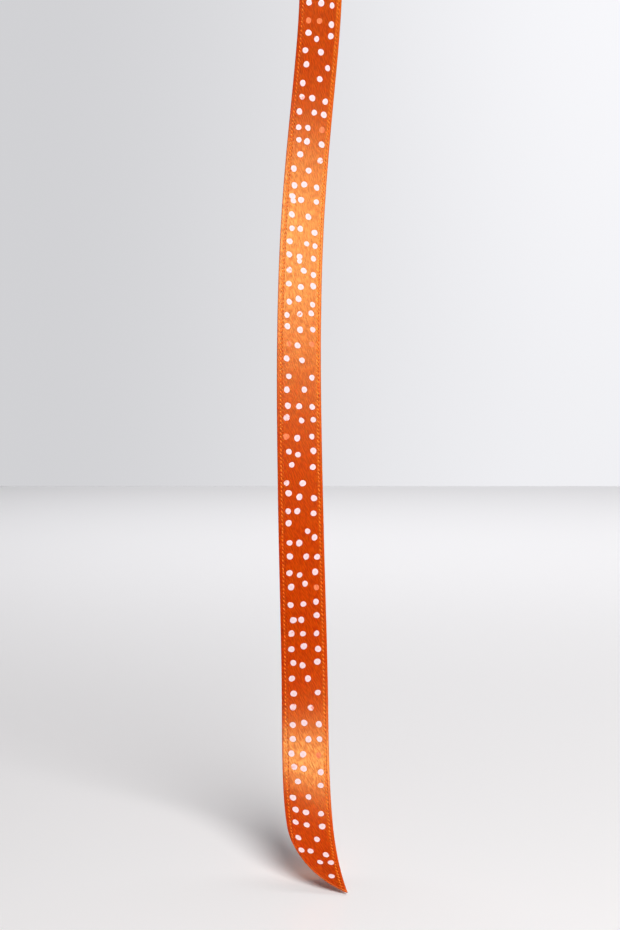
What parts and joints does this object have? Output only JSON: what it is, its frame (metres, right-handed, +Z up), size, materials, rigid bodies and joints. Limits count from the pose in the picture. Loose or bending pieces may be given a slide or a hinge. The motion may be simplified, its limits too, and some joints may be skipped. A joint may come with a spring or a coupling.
{
  "type": "length of printed satin ribbon",
  "caption": "Narrow orange satin ribbon with small scattered white printed dots, hanging in a soft S from its top edge, its slanted cut end curling forward.",
  "frame": {"origin": "middle of the top edge, in the middle of the cloth's thickness", "axes": "+Z up along the hanging ribbon, -Y out of the printed face, +X towards the right selvedge as that face is seen"},
  "size_m": [0.0146, 0.0484, 0.1893],
  "materials": {
    "printed_satin": "satin weave with a lengthwise lustre, white printed dots and two corded selvedges"
  },
  "bodies": {
    "root": {"ribbon": "printed_satin"}
  },
  "joints": []
}
